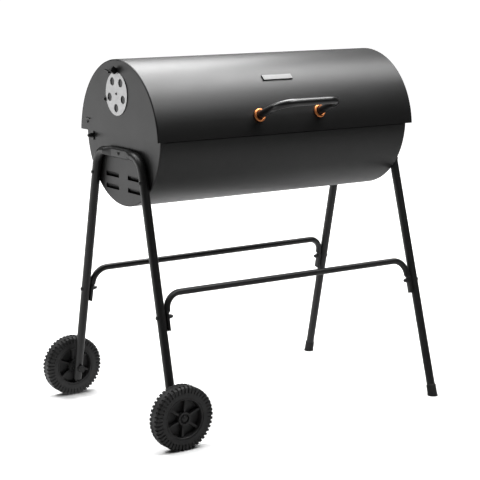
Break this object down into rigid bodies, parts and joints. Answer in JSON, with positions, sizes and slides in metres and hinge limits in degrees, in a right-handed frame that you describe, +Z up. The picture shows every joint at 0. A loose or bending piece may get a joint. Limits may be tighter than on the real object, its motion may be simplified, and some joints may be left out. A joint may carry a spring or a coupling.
{
  "type": "drum charcoal barbecue",
  "caption": "Drum charcoal barbecue on a tube-leg trolley, with a hinged half-barrel lid, side air vent, bow handle, end louvres, stretchers and a pair of wheels.",
  "frame": {"origin": "floor level, at the middle of the footprint", "axes": "+Z up; +X along the drum, away from the wheels; -Y is the front, where the lid handle is"},
  "size_m": [0.8653, 0.5966, 0.8982],
  "materials": {
    "drum_paint": "satin black heat-resistant paint",
    "frame_paint": "satin black powder coat",
    "handle_gloss": "gloss black enamel",
    "copper": "copper-coloured plating",
    "badge_metal": "satin",
    "zinc_plate": "zinc plated",
    "black_fastener": "black plated",
    "grip_plastic": "moulded",
    "wheel_plastic": "moulded, satin",
    "foot_rubber": "matt",
    "chrome_wire": "bright chrome plate",
    "coal_wire": "plain steel wire"
  },
  "bodies": {
    "cart": {"bowl_shell": "drum_paint", "bowl_end_left": "drum_paint", "bowl_end_right": "drum_paint", "leg_hoop_left": "frame_paint", "leg_hoop_right": "frame_paint", "lower_leg_front_left": "frame_paint", "lower_leg_rear_left": "frame_paint", "lower_leg_front_right": "frame_paint", "lower_leg_rear_right": "frame_paint", "stretcher_front": "frame_paint", "stretcher_rear": "frame_paint", "charcoal_grate_brackets": "zinc_plate", "grate_rail_left": "zinc_plate", "grate_rail_right": "zinc_plate", "hinge_bolts": "black_fastener", "hinge_spacers": "black_fastener", "hinge_nuts": "black_fastener", "stretcher_bolts": "black_fastener", "stretcher_nuts": "black_fastener", "hoop_bolts": "black_fastener", "hoop_nuts": "black_fastener", "axle_bolts": "black_fastener", "axle_spacers": "black_fastener", "axle_nuts": "black_fastener", "foot_cap_front": "foot_rubber", "foot_cap_rear": "foot_rubber"},
    "lid": {"lid_shell": "drum_paint", "lid_end_left": "drum_paint", "lid_end_right": "drum_paint", "lid_handle": "handle_gloss", "handle_inserts": "zinc_plate", "handle_rings": "copper", "handle_screws": "zinc_plate", "badge_base": "grip_plastic", "badge_plate": "badge_metal", "vent_rivet": "black_fastener", "vent_stop": "grip_plastic", "vent_side_bolt": "black_fastener", "vent_side_nut": "black_fastener", "hinge_strap_left": "black_fastener", "hinge_strap_right": "black_fastener", "hinge_strap_screws": "black_fastener", "hinge_strap_nuts": "black_fastener"},
    "vent": {"vent_disc": "zinc_plate", "vent_grip": "grip_plastic"},
    "front_wheel": {"wheel_front": "wheel_plastic"},
    "rear_wheel": {"wheel_rear": "wheel_plastic"},
    "left_grate": {"cooking_grate_left": "chrome_wire"},
    "right_grate": {"cooking_grate_right": "chrome_wire"},
    "coal_grate": {"charcoal_grate": "coal_wire"}
  },
  "joints": [
    {"name": "lid_hinge", "type": "hinge", "parent": "cart", "child": "lid", "pos_m": [0.02476, 0.151, 0.7005], "axis": [-1, 0, 0], "range_deg": [0, 74]},
    {"name": "vent_turn", "type": "hinge", "parent": "lid", "child": "vent", "pos_m": [-0.35724, 0, 0.815], "axis": [1, 0, 0], "range_deg": [0, 36]},
    {"name": "front_wheel_spin", "type": "hinge", "parent": "cart", "child": "front_wheel", "pos_m": [-0.35463, -0.28, 0.078], "axis": [0, 1, 0], "continuous": true},
    {"name": "rear_wheel_spin", "type": "hinge", "parent": "cart", "child": "rear_wheel", "pos_m": [-0.35463, 0.28, 0.078], "axis": [0, 1, 0], "continuous": true},
    {"name": "left_grate_lift", "type": "slide", "parent": "cart", "child": "left_grate", "axis": [0, 0, 1], "range_m": [0, 0.06]},
    {"name": "right_grate_lift", "type": "slide", "parent": "cart", "child": "right_grate", "axis": [0, 0, 1], "range_m": [0, 0.06]},
    {"name": "coal_grate_lift", "type": "slide", "parent": "cart", "child": "coal_grate", "axis": [0, 0, 1], "range_m": [0, 0.04]}
  ]
}
